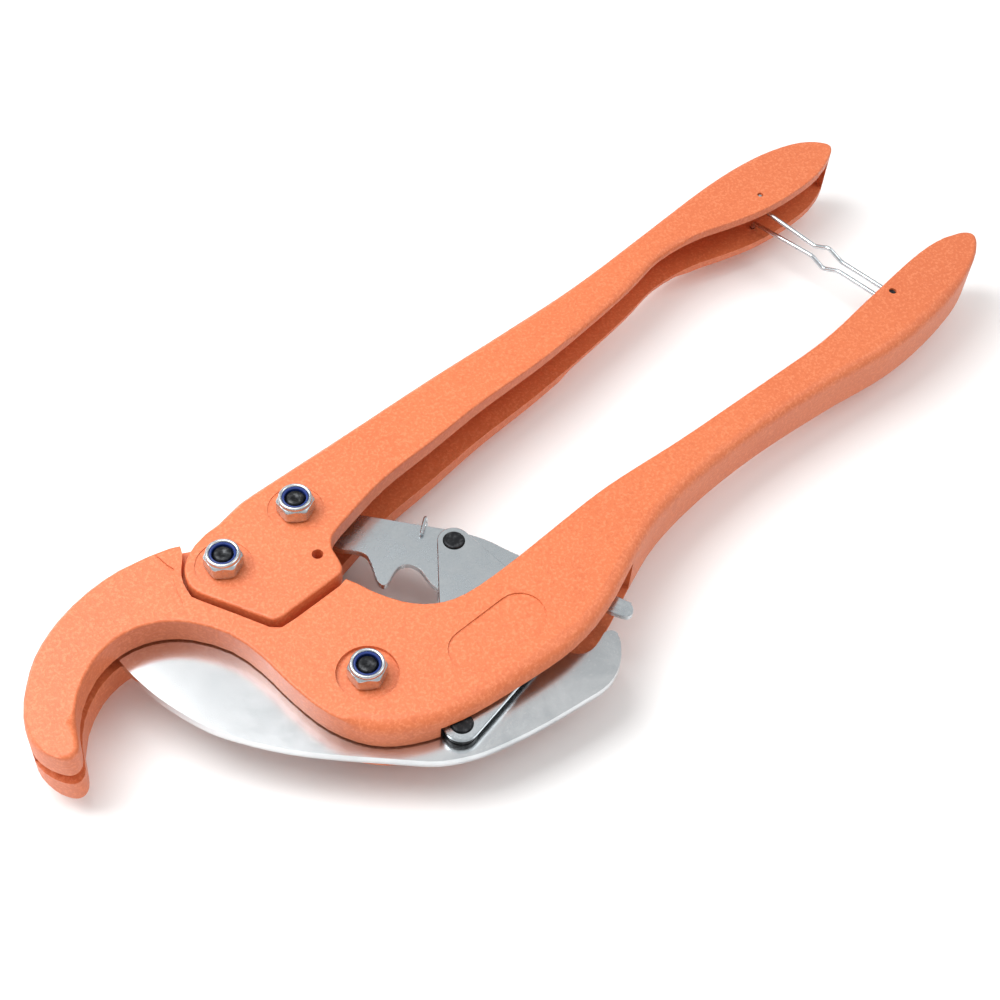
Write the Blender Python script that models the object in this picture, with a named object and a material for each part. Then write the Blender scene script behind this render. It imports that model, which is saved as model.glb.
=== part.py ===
"""Ratchet pipe cutter, lying flat and closed. Metres, +Z up.

Frame: +X runs along the tool from the head to the handle ends, +Z is its thickness, and the origin
is on the handle pivot's axis at the bottom face of its bolt head, the tool's lowest face.
Plan sizes below are in millimetres from that axis, and heights are from the blade's mid-plane.
"""
import math
import bpy
import bmesh
from mathutils import Vector

MM = 0.001
Z_MID = 23.0             # blade mid-plane above the lowest face
GAP = 0.3                # clearance between neighbours that touch

HANDLE_PIVOT = (0.0, 0.0)
ROLLER = (35.5, 6.5)
BLADE_PIVOT = (17.0, -67.0)
RATCHET_PIN = (80.3, -33.5)
LINK_PIN = (34.8, -99.2)
LINK_RIVET = (75.5, -87.0)
PLATE_CORNER = (84.7, -83.7)
LATCH_HOLE = (309.5, 40.5)
CATCH_PIN = (315.3, -38.0)
SIGHT_HOLE = (30.5, -15.5)

BODY_HALF = 15.0         # half thickness of the body at its head
GRIP_HALF = 12.0         # half thickness of both handles at their grips
HEAD_HALF = 17.5         # half thickness of the moving handle at its head
POCKET_HALF = 9.5        # body's half thickness under the moving handle's cheeks
CHEEK_GAP = 9.8          # moving handle's inner faces at its head
CHANNEL_HALF = 8.7       # body's channel around the blade's linkage
GRIP_WALL = 4.0
SPINE = 4.2              # thickness of each handle's outer wall
SLOT_HALF = 3.0          # hook's blade slot
RIM_DROP = 0.9           # how far the hook's side lies below its rim
LABEL_DROP = 0.6
SEAT_DROP = 0.35         # spot faces under the handle's nuts
RECESS_DROP = 1.5        # recess around the blade pivot's nut

BOLT_R = 4.0             # M8
HOLE_R = 4.3
HEX_FLAT = 13.0
HEAD_H = 5.3
NUT_HEX_H = 6.4
NUT_H = 8.0
COLLAR_R = 6.35
LIP_R = 4.95             # bore of the collar over the insert

BLADE_HALF = 2.0
LEVER_Z = (2.3, 4.9)
UPPER_PLATE_Z = (5.2, 7.0)
LOWER_PLATE_Z = (-4.1, -2.3)
WIRE_R = 1.0
SPRING_R = 0.75


# ---------------------------------------------------------------- mesh helpers

def material(name, colour, metallic, roughness):
    """One Principled BSDF per real material."""
    mat = bpy.data.materials.get(name)
    if mat is None:
        mat = bpy.data.materials.new(name)
        mat.use_nodes = True
        bsdf = mat.node_tree.nodes["Principled BSDF"]
        bsdf.inputs["Base Color"].default_value = (*colour, 1.0)
        bsdf.inputs["Metallic"].default_value = metallic
        bsdf.inputs["Roughness"].default_value = roughness
    return mat


def orange():
    return material("orange_powder_coat", (0.93, 0.235, 0.085), 0.0, 0.45)


def zinc():
    return material("zinc_plated_steel", (0.62, 0.63, 0.64), 1.0, 0.35)


def blade_steel():
    return material("polished_blade_steel", (0.70, 0.70, 0.71), 1.0, 0.18)


def black_steel():
    return material("blackened_steel", (0.03, 0.03, 0.032), 0.8, 0.45)


def nylon():
    return material("blue_nylon", (0.02, 0.05, 0.30), 0.0, 0.4)


def spline(points, step=4.0, bend=10.0):
    """Closed smooth curve through the points, sampled every `step` mm or `bend` degrees of turn."""
    n = len(points)
    out = []
    for i in range(n):
        p0, p1, p2, p3 = (Vector(points[(i + k - 1) % n][:2]) for k in range(4))
        turn = math.degrees((p2 - p0).angle(p3 - p1, 0.0))
        count = max(1, round((p2 - p1).length / step), math.ceil(turn / bend))
        for k in range(count):
            t = k / count
            out.append(0.5 * (2 * p1 + (p2 - p0) * t + (2 * p0 - 5 * p1 + 4 * p2 - p3) * t * t
                              + (3 * p1 - p0 - 3 * p2 + p3) * t ** 3))
    return out


def circle(centre, r, n=32, phase=0.0):
    return [Vector((centre[0] + r * math.cos(phase + 2 * math.pi * k / n),
                    centre[1] + r * math.sin(phase + 2 * math.pi * k / n))) for k in range(n)]


def area(points):
    return 0.5 * sum(a.x * b.y - b.x * a.y for a, b in zip(points, points[1:] + points[:1]))


def normals(points):
    """Outward unit normals of a counter-clockwise outline."""
    out = []
    for i, p in enumerate(points):
        d = points[(i + 1) % len(points)] - points[i - 1]
        out.append(Vector((d.y, -d.x)).normalized())
    return out


def make(name, verts, faces, mat):
    mesh = bpy.data.meshes.new(name)
    mesh.from_pydata([(x * MM, y * MM, (z + Z_MID) * MM) for x, y, z in verts], [], faces)
    bm = bmesh.new()
    bm.from_mesh(mesh)
    bmesh.ops.recalc_face_normals(bm, faces=bm.faces)
    bm.to_mesh(mesh)
    bm.free()
    mesh.materials.append(mat)
    ob = bpy.data.objects.new(name, mesh)
    bpy.context.scene.collection.objects.link(ob)
    return ob


def layered(name, points, rings, mat):
    """Stack of rings: each ring is a function point, normal -> (x, y, z)."""
    pts = [Vector(p) for p in points]
    if area(pts) < 0:
        pts.reverse()
    nrm = normals(pts)
    n = len(pts)
    verts = [ring(p, d) for ring in rings for p, d in zip(pts, nrm)]
    faces = [tuple(reversed(range(n))), tuple((len(rings) - 1) * n + k for k in range(n))]
    for r in range(len(rings) - 1):
        for k in range(n):
            j = (k + 1) % n
            faces.append((r * n + k, r * n + j, (r + 1) * n + j, (r + 1) * n + k))
    return make(name, verts, faces, mat)


def prism(name, points, z0, z1, mat=None):
    return layered(name, points, [lambda p, d, z=z: (p.x, p.y, z) for z in (z0, z1)], mat or zinc())


def rounded(name, points, half, radius, mat):
    """Prism about the mid-plane with half height half and edge radius radius(x, y)."""
    rings = []
    for sign, angles in ((-1, (0, 30, 60, 90)), (1, (90, 60, 30, 0))):
        for a in angles:
            c, s = math.cos(math.radians(a)), math.sin(math.radians(a))

            def ring(p, d, c=c, s=s, sign=sign):
                r = radius(p.x, p.y)
                q = p - d * r * (1 - s)
                return q.x, q.y, sign * (half - r * (1 - c))
            rings.append(ring)
    return layered(name, points, rings, mat)


def lathe(name, profile, centre, mat, n=32):
    """Turned solid about the vertical through centre.

    profile is [(r, z)], from axis to axis or closed round a bore; r may be a function of the angle.
    """
    verts, faces, rows = [], [], []
    for r, z in profile:
        if not callable(r) and r < 1e-6:
            rows.append([len(verts)])
            verts.append((centre[0], centre[1], z))
        else:
            rows.append(list(range(len(verts), len(verts) + n)))
            for k in range(n):
                a = 2 * math.pi * k / n
                d = r(a) if callable(r) else r
                verts.append((centre[0] + d * math.cos(a), centre[1] + d * math.sin(a), z))
    closed = callable(profile[0][0]) or profile[0][0] > 1e-6
    pairs = list(zip(rows, rows[1:])) + ([(rows[-1], rows[0])] if closed else [])
    for a, b in pairs:
        for k in range(n):
            j = (k + 1) % n
            quad = [a[k % len(a)], a[j % len(a)], b[j % len(b)], b[k % len(b)]]
            faces.append(tuple(dict.fromkeys(quad)))
    return make(name, verts, faces, mat)


def boolean(ob, tool, operation="DIFFERENCE"):
    """Apply one exact Boolean and drop the tool."""
    mod = ob.modifiers.new("op", 'BOOLEAN')
    mod.solver = 'EXACT'
    mod.operation = operation
    mod.object = tool
    bpy.context.view_layer.update()
    graph = bpy.context.evaluated_depsgraph_get()
    mesh = bpy.data.meshes.new_from_object(ob.evaluated_get(graph))
    ob.modifiers.clear()
    mats = list(ob.data.materials)
    ob.data = mesh
    mesh.materials.clear()
    mesh.materials.append(mats[0])
    for poly in mesh.polygons:
        poly.material_index = 0
    bpy.data.objects.remove(tool)
    return ob


def cut_hole(ob, centre, r, z0=-40.0, z1=40.0, n=32):
    return boolean(ob, prism("tool", circle(centre, r, n), z0, z1))


def tube(name, path, r, mat, sides=10):
    """Round bar along a 3-D path with flat ends."""
    pts = [Vector(p) for p in path]
    dirs = []
    for i in range(len(pts)):
        a, b = pts[max(i - 1, 0)], pts[min(i + 1, len(pts) - 1)]
        dirs.append((b - a).normalized())
    side = dirs[0].orthogonal().normalized()
    verts, faces = [], []
    for p, d in zip(pts, dirs):
        side = (side - d * side.dot(d)).normalized()
        up = d.cross(side)
        for k in range(sides):
            a = 2 * math.pi * k / sides
            verts.append(tuple(p + (side * math.cos(a) + up * math.sin(a)) * r))
    for i in range(len(pts) - 1):
        for k in range(sides):
            j = (k + 1) % sides
            faces.append((i * sides + k, i * sides + j, (i + 1) * sides + j, (i + 1) * sides + k))
    last = (len(pts) - 1) * sides
    faces += [tuple(reversed(range(sides))), tuple(last + k for k in range(sides))]
    return make(name, verts, faces, mat)


def bent(corners, radius=2.5, steps=4):
    """Polyline with its corners rounded."""
    pts = [Vector(c) for c in corners]
    out = [pts[0]]
    for a, b, c in zip(pts, pts[1:], pts[2:]):
        r = min(radius, 0.45 * (b - a).length, 0.45 * (c - b).length)
        p, q = b + (a - b).normalized() * r, b + (c - b).normalized() * r
        for k in range(steps + 1):
            t = k / steps
            out.append(p * (1 - t) ** 2 + b * 2 * t * (1 - t) + q * t * t)
    return out + [pts[-1]]


def smoothstep(a, b, x):
    t = min(max((x - a) / (b - a), 0.0), 1.0)
    return t * t * (3 - 2 * t)


def set_origin(ob, centre, z=0.0):
    """Put the object's origin on its joint's axis."""
    at = Vector((centre[0] * MM, centre[1] * MM, (z + Z_MID) * MM))
    for v in ob.data.vertices:
        v.co -= at
    ob.location = at
    return ob


# ---------------------------------------------------------------- outlines

JAW = [(-77.2, -31.2), (-74.8, -25.0), (-69.0, -16.0), (-58.5, -7.5), (-46.0, -3.5), (-33.5, -5.3),
       (-22.5, -12.5), (-13.5, -25.0), (-9.4, -39.0), (-7.2, -56.0), (-3.2, -72.5), (5.2, -86.0)]
HEEL = [(17.5, -94.2), (35.0, -99.0), (60.0, -100.0), (85.5, -99.0), (107.0, -93.0), (132.0, -80.5)]
FIXED_OUTER = [(152.0, -72.0), (180.0, -65.8), (216.5, -61.8), (257.5, -60.8), (293.0, -61.5),
               (322.0, -57.8), (345.0, -51.5), (361.0, -44.6), (369.5, -38.8), (373.2, -34.2)]
FIXED_INNER = [(372.2, -30.8), (368.0, -28.4), (360.0, -27.1), (349.5, -27.0), (336.3, -28.6),
               (321.9, -31.3), (302.9, -35.1), (268.0, -41.8),
               (222.5, -45.2), (182.5, -48.0), (142.5, -50.3), (112.5, -54.5), (86.0, -58.3),
               (66.0, -59.6), (54.0, -56.5), (45.0, -49.0), (38.5, -38.5)]
NECK = [(33.5, -28.0), (22.5, -17.5), (17.3, -6.0), (16.0, 3.0), (10.5, 10.5), (3.0, 14.6), (-4.0, 17.4)]
HOOK_BACK = [(-11.2, 20.2), (-18.6, 22.2), (-31.0, 23.3), (-45.0, 21.4), (-60.0, 16.2), (-74.0, 7.2),
             (-84.8, -5.7), (-89.6, -16.0), (-90.7, -23.0), (-89.4, -28.8), (-87.3, -32.8), (-84.8, -35.7),
             (-82.0, -36.5), (-79.2, -34.9)]

SIDE_RIM = [(-85.6, -38.5), (-85.4, -33.0), (-83.7, -27.6), (-80.3, -21.0), (-75.4, -13.6), (-63.5, -2.6),
            (-49.5, 2.0), (-38.9, 1.0), (-32.0, -1.1), (-25.0, -4.6)]
SIDE_BOSS = [(-20.8, -5.4), (-19.4, -1.0), (-18.0, 4.5), (-16.2, 9.0), (-16.0, 14.0)]

MOVING_OUTER = [(-12.2, 7.4), (-9.2, 10.6), (-3.7, 14.2), (8.5, 18.6), (20.5, 22.7), (36.0, 24.5),
                (71.5, 28.3), (118.0, 34.2), (152.0, 38.0), (202.5, 44.0), (252.5, 52.5), (286.0, 58.6),
                (310.4, 61.6), (329.5, 61.8), (345.9, 58.9), (354.6, 55.4), (360.0, 51.0)]
MOVING_INNER = [(361.5, 47.3), (358.6, 43.8), (350.4, 39.2), (342.5, 36.2), (331.8, 34.0), (316.9, 32.5),
                (301.7, 32.5), (284.9, 34.6), (267.0, 37.4), (245.0, 36.5), (222.5, 29.8), (197.0, 23.7),
                (162.5, 16.6), (127.0, 11.2), (96.7, 5.0), (71.7, 0.2), (51.7, -6.5), (40.5, -11.0),
                (36.5, -16.5), (35.7, -22.0)]
MOVING_HEAD = [(34.0, -26.4), (29.0, -27.9), (9.7, -30.4), (4.5, -31.0), (0.8, -29.2), (-5.9, -18.0),
               (-12.4, -7.4), (-14.6, -2.0), (-14.1, 3.4)]

BLADE_SPINE = [(-47.8, -8.0), (-46.4, -18.0), (-43.4, -30.0), (-37.3, -45.4), (-30.0, -56.6), (-19.0, -69.8),
               (-6.7, -81.6), (6.2, -92.6), (18.4, -102.9), (25.2, -107.0), (33.0, -110.1), (42.0, -112.2),
               (59.0, -114.4), (79.0, -115.4), (87.0, -115.6), (93.2, -114.3), (99.3, -110.8),
               (104.4, -105.4), (107.0, -100.2)]
BLADE_BACK = [(105.9, -97.4), (103.0, -96.7), (99.3, -98.4), (94.5, -99.8), (90.0, -98.8), (86.5, -94.5),
              (84.8, -86.0), (78.0, -78.0), (64.0, -75.0), (48.0, -74.0), (36.0, -66.0), (30.0, -56.5),
              (20.0, -50.0)]
BLADE_EDGE = [(8.0, -46.0), (3.0, -36.0), (-4.0, -21.5), (-14.0, -8.5), (-26.0, 0.3), (-38.0, 4.3),
              (-47.5, 4.5)]

LEVER_TOP = [(33.0, 15.5), (44.0, 11.6), (57.4, 0.2), (67.1, -10.0), (77.8, -21.4), (84.0, -28.0)]
LEVER_TAIL = [(88.6, -34.0), (92.8, -41.0), (97.6, -52.0), (116.6, -89.6), (118.1, -94.0), (116.8, -97.0),
              (114.3, -97.9), (111.6, -95.8)]
LEVER_BACK = [(105.8, -85.0), (88.5, -52.0), (79.5, -44.0), (72.0, -43.0), (66.0, -46.0)]
LEVER_TEETH = [(63.4, -48.0), (62.3, -42.0), (62.8, -36.6), (61.7, -32.6), (59.5, -30.6), (56.6, -30.2),
               (53.0, -31.8), (49.6, -33.8), (47.2, -33.8), (46.5, -30.8), (48.2, -25.8), (49.9, -20.4),
               (49.3, -16.8), (45.8, -12.8), (42.4, -8.6)]
LEVER_SEAT_R = 6.6
LEVER_SEAT_FROM, LEVER_SEAT_TO = -30.0, 205.0


def taper(ob, start, end, step, heights):
    """Thin a casting along x: heights maps (inner, outer) half heights at the head to the grip's."""
    (inner, outer), (inner_to, outer_to) = heights
    bm = bmesh.new()
    bm.from_mesh(ob.data)
    x = start + step
    while x < end + 0.5 * step:
        bmesh.ops.bisect_plane(bm, geom=bm.verts[:] + bm.edges[:] + bm.faces[:], dist=1e-7,
                               plane_co=(x * MM, 0, 0), plane_no=(1, 0, 0))
        x += step
    for v in bm.verts:
        t = smoothstep(start, end, v.co.x / MM)
        lo, hi = inner + (inner_to - inner) * t, outer + (outer_to - outer) * t
        z = v.co.z / MM - Z_MID
        h = abs(z)
        h = h * lo / inner if h <= inner else lo + (h - inner) * (hi - lo) / (outer - inner)
        v.co.z = (Z_MID + math.copysign(h, z)) * MM
    bm.to_mesh(ob.data)
    bm.free()


def edge_radius_body(x, y):
    """Outer edges are well rounded, the jaw and the inner edges only broken."""
    on_back = y > 16.0 if x > -30.0 else x < -74.0 - (y + 20.0) * 0.12 or y > 2.0 + (x + 60.0) * 0.35
    if x < -10.0 and on_back:
        return 4.0 - 2.0 * smoothstep(22.0, 33.0, -y) - 2.5 * smoothstep(-24.0, -10.0, x)
    if x > -12.0 and y < -37.0 and below_middle(x, y):
        heel = 4.2 * smoothstep(-14.0, 8.0, x) - 1.2 * smoothstep(60.0, 110.0, x)
        return 2.0 + heel - 3.2 * smoothstep(330.0, 362.0, x)
    if x > 360.0:
        return 1.8
    return 1.0


def below_middle(x, y):
    """True on the fixed handle's outer side."""
    middle = -78.0 + 24.0 * smoothstep(60.0, 220.0, x) + 11.0 * smoothstep(260.0, 370.0, x)
    return y < middle


def edge_radius_moving(x, y):
    middle = -2.0 + 22.0 * smoothstep(0.0, 60.0, x) + 30.0 * smoothstep(120.0, 330.0, x)
    if x < 0.0 or y < middle - 6.0 or (x < 30.0 and y < 12.0):
        return 1.0
    return 1.0 + 3.5 * smoothstep(0.0, 12.0, x) - 2.7 * smoothstep(320.0, 352.0, x)


# ---------------------------------------------------------------- castings

def fixed_body():
    """Hook jaw, head and lower handle in one casting."""
    outline = spline(JAW + HEEL + FIXED_OUTER + FIXED_INNER + NECK + HOOK_BACK, 6.5)
    body = rounded("fixed_body", outline, BODY_HALF, edge_radius_body, orange())
    slot = [(-78.0, -60.0), (-98.0, -48.0), (-98.0, -21.5), (-89.0, -20.0), (-83.0, -16.0), (-76.5, -8.0),
            (-67.0, 1.0), (-54.0, 8.5), (-40.0, 11.5), (-27.0, 9.0), (-15.5, 2.0), (-6.5, -11.5),
            (1.5, -23.0), (8.0, -36.0), (12.0, -48.0), (14.0, -70.0), (15.0, -76.0), (31.0, -84.0),
            (31.0, -120.0), (-30.0, -120.0), (-60.0, -75.0)]
    boolean(body, prism("tool", [Vector(p) for p in slot], -SLOT_HALF, SLOT_HALF))
    channel = [(27.0, -115.0), (27.0, -89.0), (10.0, -79.0), (4.5, -70.0), (5.0, -58.0), (8.5, -45.0),
               (13.0, -42.5), (24.0, -42.5), (31.0, -40.0), (35.5, -33.0), (60.0, -25.0), (140.0, -35.0),
               (140.0, -72.6), (128.0, -78.0), (131.0, -90.0), (110.0, -115.0)]
    boolean(body, prism("tool", [Vector(p) for p in channel], -CHANNEL_HALF, CHANNEL_HALF))
    inner_face = [(x, y + SPINE) for x, y in FIXED_OUTER[:7]]
    trough = [Vector(p) for p in [(126.0, -30.0), (126.0, -76.0)] + inner_face
              + [(358.0, -40.4), (364.5, -35.8), (366.5, -31.0), (366.0, -10.0)]]
    inner = BODY_HALF - GRIP_WALL
    boolean(body, prism("tool", trough, -inner, inner))
    shoulder = [Vector((r * math.cos(math.radians(a)), r * math.sin(math.radians(a))))
                for a, r in ((112.0, 20.4), (116.0, 18.7), (121.0, 17.3), (127.0, 16.5), (135.0, 15.9),
                             (145.0, 15.7), (157.0, 15.7), (169.0, 15.8), (181.0, 16.0), (193.0, 16.6))]
    pocket = [(-7.6, 40.0)] + shoulder
    pocket += [(-13.6, -8.4), (-7.4, -18.8), (-0.4, -31.0), (3.0, -33.6), (9.5, -33.2), (30.0, -30.6),
               (34.5, -29.0), (60.0, -29.0), (60.0, 40.0)]
    for z0, z1 in ((POCKET_HALF, 30.0), (-30.0, -POCKET_HALF)):
        boolean(body, prism("tool", [Vector(p) for p in pocket], z0, z1))
    side = SIDE_RIM + SIDE_BOSS + [(-30.0, 40.0), (-110.0, 40.0), (-110.0, -60.0), (-85.5, -60.0)]
    for z0, z1 in ((BODY_HALF - RIM_DROP, 30.0), (-30.0, RIM_DROP - BODY_HALF)):
        boolean(body, prism("tool", spline(side, 8.0, 14.0), z0, z1))
    label_cut(body)
    cut_hole(body, BLADE_PIVOT, HOLE_R)
    cut_hole(body, BLADE_PIVOT, 11.3, BODY_HALF - RECESS_DROP, 30.0, 48)
    cut_hole(body, BLADE_PIVOT, 11.3, -30.0, RECESS_DROP - BODY_HALF, 48)
    cut_hole(body, HANDLE_PIVOT, 6.3)
    cut_hole(body, CATCH_PIN, 1.7, n=20)
    taper(body, 105.0, 200.0, 9.5, ((inner, BODY_HALF), (GRIP_HALF - GRIP_WALL, GRIP_HALF)))
    return body


def label_cut(body):
    """Blank oval panel on the head's upper side."""
    cx, cy, half, r, tilt = 65.0, -80.0, 11.5, 9.6, math.radians(6.0)
    pts = []
    for sign in (1, -1):
        for k in range(13):
            a = -math.pi / 2 + math.pi * k / 12
            x, y = sign * (half + r * math.cos(a)), sign * r * math.sin(a)
            pts.append(Vector((cx + x * math.cos(tilt) - y * math.sin(tilt),
                               cy + x * math.sin(tilt) + y * math.cos(tilt))))
    boolean(body, prism("tool", pts, BODY_HALF - LABEL_DROP, 30.0))


def moving_handle():
    """Channel-shaped handle whose two cheeks straddle the head."""
    outline = spline(MOVING_OUTER + MOVING_INNER + MOVING_HEAD, 6.5)
    handle = rounded("moving_handle", outline, HEAD_HALF, edge_radius_moving, orange())
    spine = [(x, y - SPINE) for x, y in MOVING_OUTER[5:15]]
    trough = [Vector(p) for p in [(-40.0, -50.0), (-40.0, 50.0), (20.0, 50.0), (20.0, 18.8)] + spine
              + [(352.3, 51.3), (355.8, 48.3), (356.5, 45.5), (354.0, 20.0), (200.0, -20.0), (60.0, -50.0)]]
    boolean(handle, prism("tool", trough, -CHEEK_GAP, CHEEK_GAP))
    for centre in (HANDLE_PIVOT, ROLLER):
        cut_hole(handle, centre, HOLE_R)
        cut_hole(handle, centre, 10.7, HEAD_HALF - SEAT_DROP, 40.0, 48)
        cut_hole(handle, centre, 10.7, -40.0, SEAT_DROP - HEAD_HALF, 48)
    cut_hole(handle, SIGHT_HOLE, 2.2, n=20)
    cut_hole(handle, LATCH_HOLE, 1.4, n=16)
    taper(handle, 45.0, 215.0, 10.0, ((CHEEK_GAP, HEAD_HALF), (GRIP_HALF - GRIP_WALL, GRIP_HALF)))
    return set_origin(handle, HANDLE_PIVOT)


# ---------------------------------------------------------------- fasteners

def hexagon(limit):
    """Radius of the hexagon at an angle, turned down to a limit."""
    def radius(a):
        sector = (a + math.pi / 6) % (math.pi / 3) - math.pi / 6
        return min(HEX_FLAT / 2 / math.cos(sector), limit)
    return radius


def chamfer(z_end, height, inward):
    """Rings of a hexagon's end whose corners are turned down; inward is +1 going up from the end."""
    rin, rout = HEX_FLAT / 2 - 0.3, HEX_FLAT / 2 / math.cos(math.pi / 6)
    rows = [(hexagon(rin + (rout - rin) * t), z_end + inward * height * t) for t in (0.0, 0.35, 0.7, 1.0)]
    return rows if inward > 0 else rows[::-1]


def bolt(name, centre, seat, end):
    """Hex bolt: head below the seat, plain shank up to its end with a centre dimple."""
    rows = [(0.0, seat - HEAD_H)] + chamfer(seat - HEAD_H, 0.9, 1)
    rows += [(hexagon(99.0), seat), (BOLT_R, seat), (BOLT_R, end - 0.5), (BOLT_R - 0.5, end),
             (1.2, end), (0.0, end - 0.5)]
    return lathe(name, rows, centre, black_steel(), 36)


def nut(name, centre, seat):
    """Locking nut: hexagon with a round collar that holds the insert."""
    rows = [(HOLE_R, seat)] + chamfer(seat, 0.8, 1) + chamfer(seat + NUT_HEX_H, 1.0, -1)
    rows += [(COLLAR_R, seat + NUT_HEX_H + 0.1), (COLLAR_R, seat + NUT_H - 0.6),
             (COLLAR_R - 0.5, seat + NUT_H), (LIP_R, seat + NUT_H), (LIP_R, seat + 5.6), (HOLE_R, seat + 5.6)]
    return lathe(name, rows, centre, zinc(), 36)


def insert(name, centre, seat):
    z0, z1 = seat + 5.9, seat + NUT_H - 0.5
    out = LIP_R - 0.15
    return lathe(name, [(HOLE_R, z0), (out, z0), (out, z1), (HOLE_R, z1)], centre, nylon())


def ring(name, centre, r_in, r_out, z0, z1, mat):
    return lathe(name, [(r_in, z0), (r_out, z0), (r_out, z1), (r_in, z1)], centre, mat)


def pivots():
    """Bolts, locking nuts, inserts, bushings and spacers."""
    top = HEAD_HALF - SEAT_DROP + GAP
    for label, centre in (("handle_pivot", HANDLE_PIVOT), ("roller", ROLLER)):
        bolt(label + "_bolt", centre, -top, top + NUT_H - 0.7)
        nut(label + "_nut", centre, top)
        insert(label + "_nut_insert", centre, top)
    ring("handle_pivot_bushing", HANDLE_PIVOT, HOLE_R, 6.0, -POCKET_HALF, POCKET_HALF, zinc())
    roller = ring("ratchet_roller", ROLLER, HOLE_R, 5.2, -CHEEK_GAP + GAP, CHEEK_GAP - GAP, zinc())
    set_origin(roller, ROLLER)
    top = BODY_HALF - RECESS_DROP + GAP
    bolt("blade_pivot_bolt", BLADE_PIVOT, -top, top + NUT_H - 0.7)
    nut("blade_pivot_nut", BLADE_PIVOT, top)
    insert("blade_pivot_nut_insert", BLADE_PIVOT, top)
    ring("blade_pivot_bushing", BLADE_PIVOT, HOLE_R, 6.0, -CHANNEL_HALF + GAP, CHANNEL_HALF - GAP, zinc())
    ring("blade_spacer_upper", BLADE_PIVOT, 6.3, 9.5, BLADE_HALF + GAP, CHANNEL_HALF - GAP, zinc())
    ring("blade_spacer_lower", BLADE_PIVOT, 6.3, 9.5, -CHANNEL_HALF + GAP, -BLADE_HALF - GAP, zinc())


# ---------------------------------------------------------------- blade and linkage

def blade():
    """Thick blade, thinned to its edge, with a pivot eye and a hooked tail."""
    outline = spline(BLADE_SPINE + BLADE_BACK + BLADE_EDGE, 4.5)

    def grind(x, y):
        chord = -9.0 - 0.30 * (x + 47.6) - 0.012 * (x + 47.6) ** 2
        if x > 4.0 or y < max(chord, -45.0):
            return 0.25
        return 0.25 + 5.2 * smoothstep(10.0, -8.0, x) * smoothstep(-46.0, -35.0, x)

    def at(z, f):
        return lambda p, d: (p.x - d.x * grind(p.x, p.y) * f, p.y - d.y * grind(p.x, p.y) * f, z)
    ob = layered("blade", outline, [at(-BLADE_HALF, 1.0), at(-0.25, 0.0), at(0.25, 0.0), at(BLADE_HALF, 1.0)],
                 blade_steel())
    cut_hole(ob, BLADE_PIVOT, 6.3)
    cut_hole(ob, LINK_PIN, HOLE_R)
    cut_hole(ob, LINK_RIVET, HOLE_R)
    return set_origin(ob, BLADE_PIVOT)


def hull_outline(circles):
    """Convex outline around circles [(centre, r)], as points."""
    pts = sorted({(round(p.x, 4), round(p.y, 4)) for c, r in circles for p in circle(c, r, 48)})

    def half(seq):
        out = []
        for p in seq:
            while len(out) > 1 and ((out[-1][0] - out[-2][0]) * (p[1] - out[-2][1])
                                    - (out[-1][1] - out[-2][1]) * (p[0] - out[-2][0])) <= 0:
                out.pop()
            out.append(p)
        return out[:-1]
    return [Vector(p) for p in half(pts) + half(pts[::-1])]


def side_plate(name, z0, z1):
    outline = hull_outline([(RATCHET_PIN, 6.4), (LINK_PIN, 6.7), (PLATE_CORNER, 8.0)])
    ob = layered(name, outline, [
        lambda p, d: (p.x - d.x * 0.3, p.y - d.y * 0.3, z0), lambda p, d: (p.x, p.y, z0 + 0.3),
        lambda p, d: (p.x, p.y, z1 - 0.3), lambda p, d: (p.x - d.x * 0.3, p.y - d.y * 0.3, z1)], zinc())
    for centre in (RATCHET_PIN, LINK_PIN, LINK_RIVET):
        cut_hole(ob, centre, HOLE_R, n=28)
    return set_origin(ob, BLADE_PIVOT)


def pins():
    """Pins through both plates, with a collar where a plate needs a seat."""
    low, high = LOWER_PLATE_Z[0] - 0.9, UPPER_PLATE_Z[1] + 0.9
    a = [(0.0, low), (3.6, low), (4.0, low + 0.4), (4.0, -2.0), (6.0, -2.0), (6.0, 2.0), (4.0, 2.0),
         (4.0, high - 0.4), (3.6, high), (0.0, high)]
    set_origin(lathe("ratchet_pivot_pin", a, RATCHET_PIN, black_steel(), 28), BLADE_PIVOT)
    for name, centre in (("blade_link_pin", LINK_PIN), ("blade_link_rivet", LINK_RIVET)):
        b = [(0.0, low), (3.6, low), (4.0, low + 0.4), (4.0, LEVER_Z[0]), (6.0, LEVER_Z[0]),
             (6.0, LEVER_Z[1]), (4.0, LEVER_Z[1]), (4.0, high - 0.4), (3.6, high), (0.0, high)]
        set_origin(lathe(name, b, centre, black_steel(), 28), BLADE_PIVOT)


def ratchet_lever():
    """Plated plate: roller seat and two teeth at one end, release tab at the other."""
    seat = []
    for k in range(15):
        a = math.radians(LEVER_SEAT_FROM + (LEVER_SEAT_TO - LEVER_SEAT_FROM) * k / 14)
        seat.append((ROLLER[0] + LEVER_SEAT_R * math.cos(a), ROLLER[1] + LEVER_SEAT_R * math.sin(a)))
    end = [(26.4, 1.2), (24.2, 4.5), (26.0, 11.5)]
    smooth = spline(LEVER_TOP + LEVER_TAIL + LEVER_BACK + LEVER_TEETH + seat + end, 3.0, 15.0)
    z0, z1 = LEVER_Z
    ob = layered("ratchet_lever", smooth, [
        lambda p, d: (p.x - d.x * 0.2, p.y - d.y * 0.2, z0), lambda p, d: (p.x, p.y, z0 + 0.2),
        lambda p, d: (p.x, p.y, z1 - 0.3), lambda p, d: (p.x - d.x * 0.3, p.y - d.y * 0.3, z1)], zinc())
    cut_hole(ob, RATCHET_PIN, HOLE_R)
    return set_origin(ob, RATCHET_PIN)


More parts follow.
